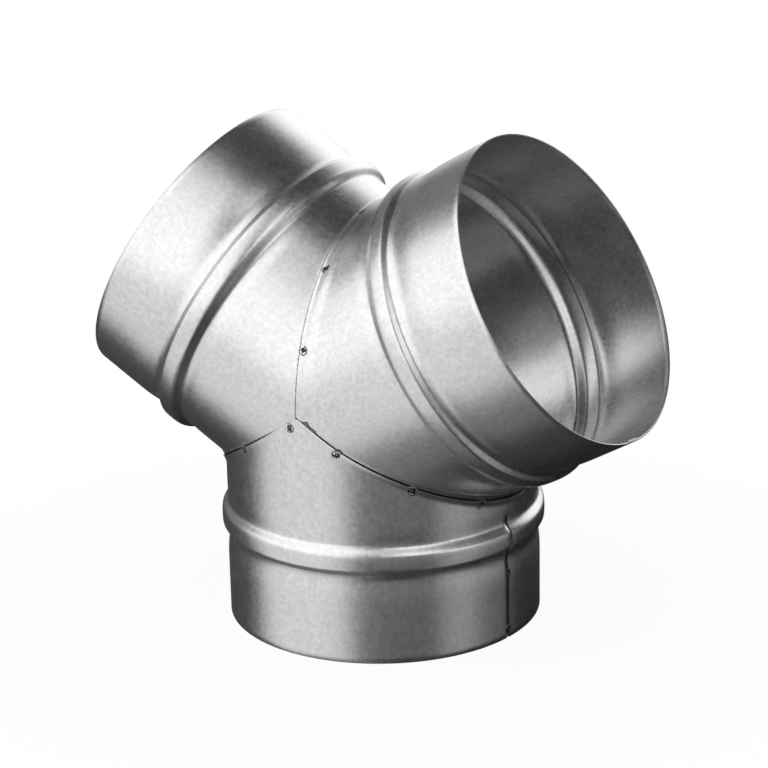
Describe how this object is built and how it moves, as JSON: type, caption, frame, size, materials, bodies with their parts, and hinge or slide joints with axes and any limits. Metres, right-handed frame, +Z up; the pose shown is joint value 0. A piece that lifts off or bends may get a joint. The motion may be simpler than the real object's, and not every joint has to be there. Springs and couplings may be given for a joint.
{
  "type": "duct y branch",
  "caption": "Symmetrical sheet-steel duct Y branch with beaded round spigots and spot-welded mitre seams.",
  "frame": {"origin": "centre of the trunk's bottom rim", "axes": "+Z up along the trunk's axis; +X in the plane of the three axes, towards the right branch; +Y towards the back"},
  "size_m": [0.2712, 0.1538, 0.2349],
  "materials": {
    "galvanised_sheet": "zinc-coated sheet, semi-matt with a fine spangle",
    "weld_metal": "bare fused steel, dull and darkened"
  },
  "bodies": {
    "root": {"trunk": "galvanised_sheet", "left_branch": "galvanised_sheet", "right_branch": "galvanised_sheet", "trunk_seam_welds": "weld_metal", "branch_seam_welds": "weld_metal", "trunk_lap_welds": "weld_metal", "left_lap_welds": "weld_metal", "right_lap_welds": "weld_metal"}
  },
  "joints": []
}
